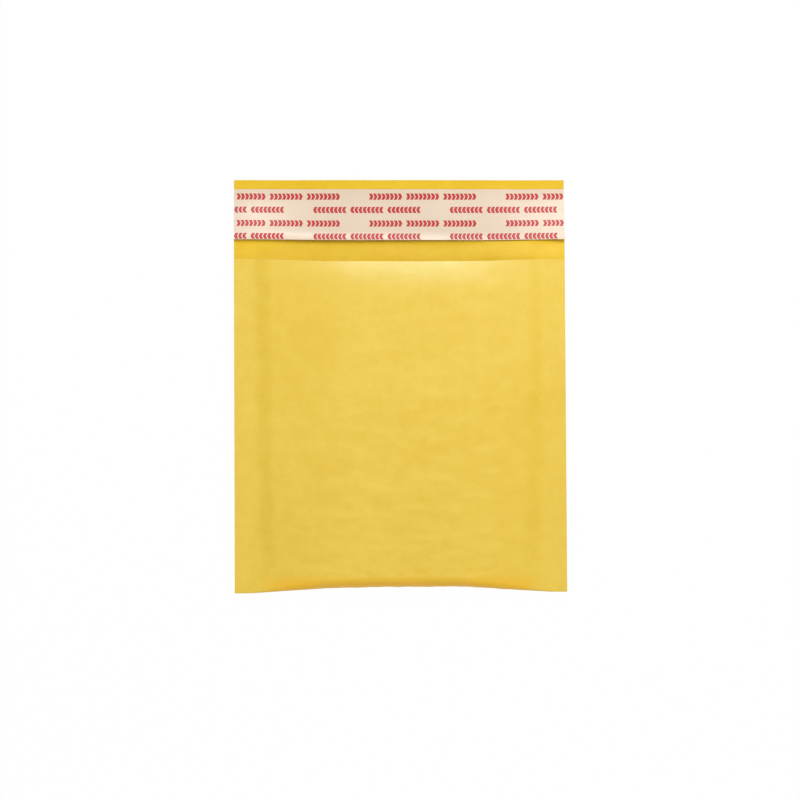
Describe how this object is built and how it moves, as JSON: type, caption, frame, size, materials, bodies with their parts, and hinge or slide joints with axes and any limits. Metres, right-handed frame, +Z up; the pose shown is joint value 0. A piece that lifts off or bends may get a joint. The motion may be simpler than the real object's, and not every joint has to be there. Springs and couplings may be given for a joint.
{
  "type": "padded envelope",
  "caption": "Small kraft paper mailer with a bubble film lining, open at the mouth, with an unused adhesive flap under its release liner.",
  "frame": {"origin": "on the flat back, under the middle of the whole outline with the flap open", "axes": "+X across the envelope, +Y from the bottom fold to the flap, +Z up through its thickness"},
  "size_m": [0.16, 0.1996, 0.0104],
  "materials": {
    "kraft_paper": "matt yellow kraft paper",
    "bubble_film": "clear soft film",
    "adhesive": "tacky, slightly glossy",
    "release_paper": "smooth cream silicone-coated paper"
  },
  "bodies": {
    "root": {"kraft_cover": "kraft_paper", "bubble_lining": "bubble_film", "adhesive_strip": "adhesive", "release_liner": "release_paper"}
  },
  "joints": []
}
